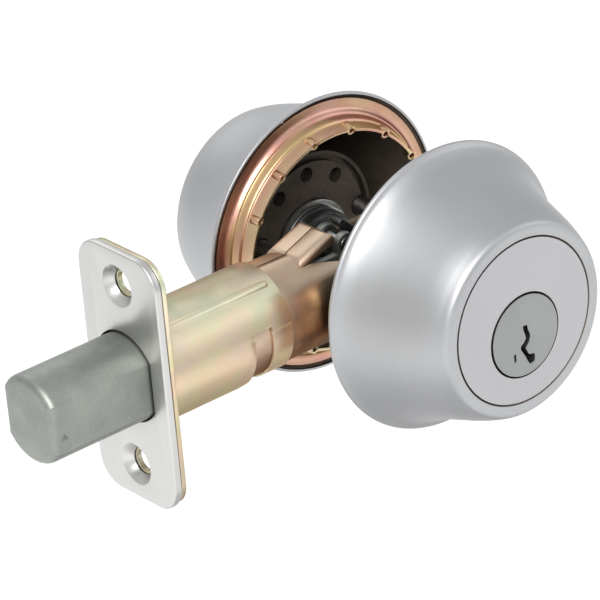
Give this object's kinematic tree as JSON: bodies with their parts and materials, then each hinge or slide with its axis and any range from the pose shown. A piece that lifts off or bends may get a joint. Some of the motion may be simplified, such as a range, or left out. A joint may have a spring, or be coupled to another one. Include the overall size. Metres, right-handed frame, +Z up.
{
  "type": "deadbolt lock",
  "caption": "Tubular deadbolt door lock, keyed from both sides: tapered round cylinder housings on a latch tube with faceplate, thrown bolt, cam and drive blade.",
  "frame": {"origin": "where the cylinder axis of the door's cross bore meets the bolt axis, midway between the two housing rims", "axes": "-X along the bolt towards the door's edge, -Y out of the exterior face, +Y out of the interior face, +Z up"},
  "size_m": [0.1272, 0.0882, 0.0636],
  "materials": {
    "satin_chrome": "satin chrome plate",
    "satin_face": "satin chrome plate with circular grain",
    "sintered_steel": "grey sintered steel",
    "yellow_zinc": "yellow zinc passivated steel",
    "bronze_zinc": "bronze passivated steel",
    "die_cast": "bare die casting",
    "spring_steel": "bright spring steel",
    "brass": "plain brass"
  },
  "bodies": {
    "latch": {"faceplate": "satin_chrome", "backing_plate": "yellow_zinc", "front_tube": "yellow_zinc", "rear_case_exterior": "bronze_zinc", "rear_case_interior": "bronze_zinc", "case_spacer_front": "spring_steel", "case_spacer_rear": "spring_steel", "detent_spring": "spring_steel", "exterior_housing": "satin_chrome", "exterior_ring": "yellow_zinc", "exterior_cylinder_body": "satin_face", "interior_housing": "satin_chrome", "interior_ring": "yellow_zinc", "interior_cylinder_body": "satin_face", "threaded_post_left": "yellow_zinc", "threaded_post_right": "yellow_zinc", "mounting_screw_left": "satin_face", "mounting_screw_right": "satin_face"},
    "bolt": {"bolt": "sintered_steel", "hardened_core": "spring_steel", "tail_link": "sintered_steel", "link_pin": "spring_steel", "drive_pin": "spring_steel"},
    "cam": {"cam": "die_cast", "torque_blade": "spring_steel"},
    "exterior_plug": {"exterior_plug": "satin_face", "exterior_plug_clip": "spring_steel", "exterior_tail_driver": "die_cast", "exterior_sidebar": "brass", "exterior_key_pin_1": "brass", "exterior_key_pin_2": "brass", "exterior_key_pin_3": "brass", "exterior_key_pin_4": "brass", "exterior_key_pin_5": "brass", "exterior_pin_spring_1": "spring_steel", "exterior_pin_spring_2": "spring_steel", "exterior_pin_spring_3": "spring_steel", "exterior_pin_spring_4": "spring_steel", "exterior_pin_spring_5": "spring_steel"},
    "interior_plug": {"interior_plug": "satin_face", "interior_plug_clip": "spring_steel", "interior_tail_driver": "die_cast", "interior_sidebar": "brass", "interior_key_pin_1": "brass", "interior_key_pin_2": "brass", "interior_key_pin_3": "brass", "interior_key_pin_4": "brass", "interior_key_pin_5": "brass", "interior_pin_spring_1": "spring_steel", "interior_pin_spring_2": "spring_steel", "interior_pin_spring_3": "spring_steel", "interior_pin_spring_4": "spring_steel", "interior_pin_spring_5": "spring_steel"}
  },
  "joints": [
    {"name": "exterior_key_turn", "type": "hinge", "parent": "latch", "child": "exterior_plug", "pos_m": [0, 0, -0.0032], "axis": [0, 1, 0], "range_deg": [0, 90]},
    {"name": "cam_turn", "type": "hinge", "parent": "latch", "child": "cam", "pos_m": [0, 0, -0.0032], "axis": [0, 1, 0], "range_deg": [0, 90]},
    {"name": "bolt_slide", "type": "slide", "parent": "latch", "child": "bolt", "axis": [1, 0, 0], "range_m": [0, 0.0254]},
    {"name": "interior_key_turn", "type": "hinge", "parent": "latch", "child": "interior_plug", "pos_m": [0, 0, -0.0032], "axis": [0, 1, 0], "range_deg": [-90, 0]}
  ],
  "couplings": [
    {"joint": "exterior_key_turn", "follows": "bolt_slide", "rad_per_m": 61.84},
    {"joint": "cam_turn", "follows": "bolt_slide", "rad_per_m": 61.84}
  ]
}
